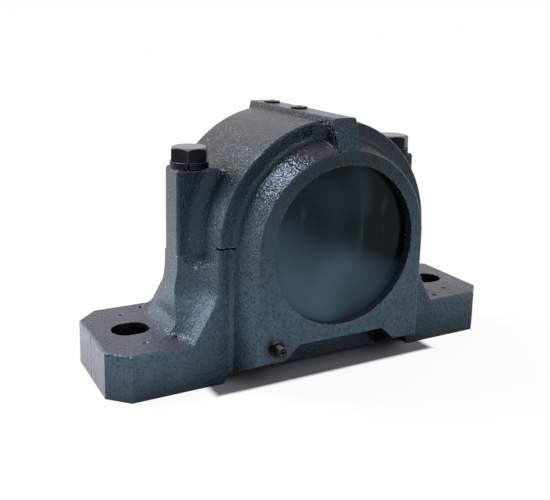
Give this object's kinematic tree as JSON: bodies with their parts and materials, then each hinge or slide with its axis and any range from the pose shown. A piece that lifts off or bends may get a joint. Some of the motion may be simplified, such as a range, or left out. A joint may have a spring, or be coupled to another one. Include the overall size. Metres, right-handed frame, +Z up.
{
  "type": "split plummer block",
  "caption": "Split cast plummer block with a self-aligning ball bearing on an adapter sleeve, one end closed by a cover and the other sealed round the shaft.",
  "frame": {"origin": "middle of the mounting plane, between the two foot slots", "axes": "+X along the foot, +Y along the shaft towards the end where it comes out, +Z up"},
  "size_m": [0.315, 0.1476, 0.1831],
  "materials": {
    "base_casting": "grainy casting under thin dark blue-grey paint",
    "cap_casting": "grainy casting under thin dark blue-grey paint",
    "black_fasteners": "blackened, lightly worn",
    "cover_plate": "smooth satin blue-grey",
    "seal_rubber": "matt black",
    "ring_iron": "machined",
    "ground_steel": "ground",
    "polished_steel": "polished",
    "cage_steel": "pressed and tumbled",
    "turned_steel": "turned, oiled"
  },
  "bodies": {
    "housing": {"base": "base_casting", "cap": "cap_casting", "cap_bolts": "black_fasteners", "spring_washers": "black_fasteners", "dowel_pins": "ground_steel", "relubrication_plugs": "black_fasteners", "drain_plug": "black_fasteners", "front_end_cover": "cover_plate", "rear_seal_upper": "seal_rubber", "rear_seal_lower": "seal_rubber", "locating_ring_front": "ring_iron", "locating_ring_rear": "ring_iron", "bearing_outer_ring": "ground_steel"},
    "shaft_group": {"bearing_inner_ring": "ground_steel", "adapter_sleeve": "turned_steel", "lock_washer": "turned_steel", "lock_nut": "turned_steel"},
    "cage_group": {"bearing_cage": "cage_steel", "balls_front_row": "polished_steel", "balls_rear_row": "polished_steel"}
  },
  "joints": [
    {"name": "shaft_spin", "type": "hinge", "parent": "housing", "child": "shaft_group", "pos_m": [0, 0, 0.095], "axis": [0, 1, 0], "continuous": true},
    {"name": "cage_spin", "type": "hinge", "parent": "housing", "child": "cage_group", "pos_m": [0, 0, 0.095], "axis": [0, 1, 0], "continuous": true}
  ],
  "couplings": [
    {"joint": "cage_spin", "follows": "shaft_spin", "ratio": 0.4432}
  ]
}
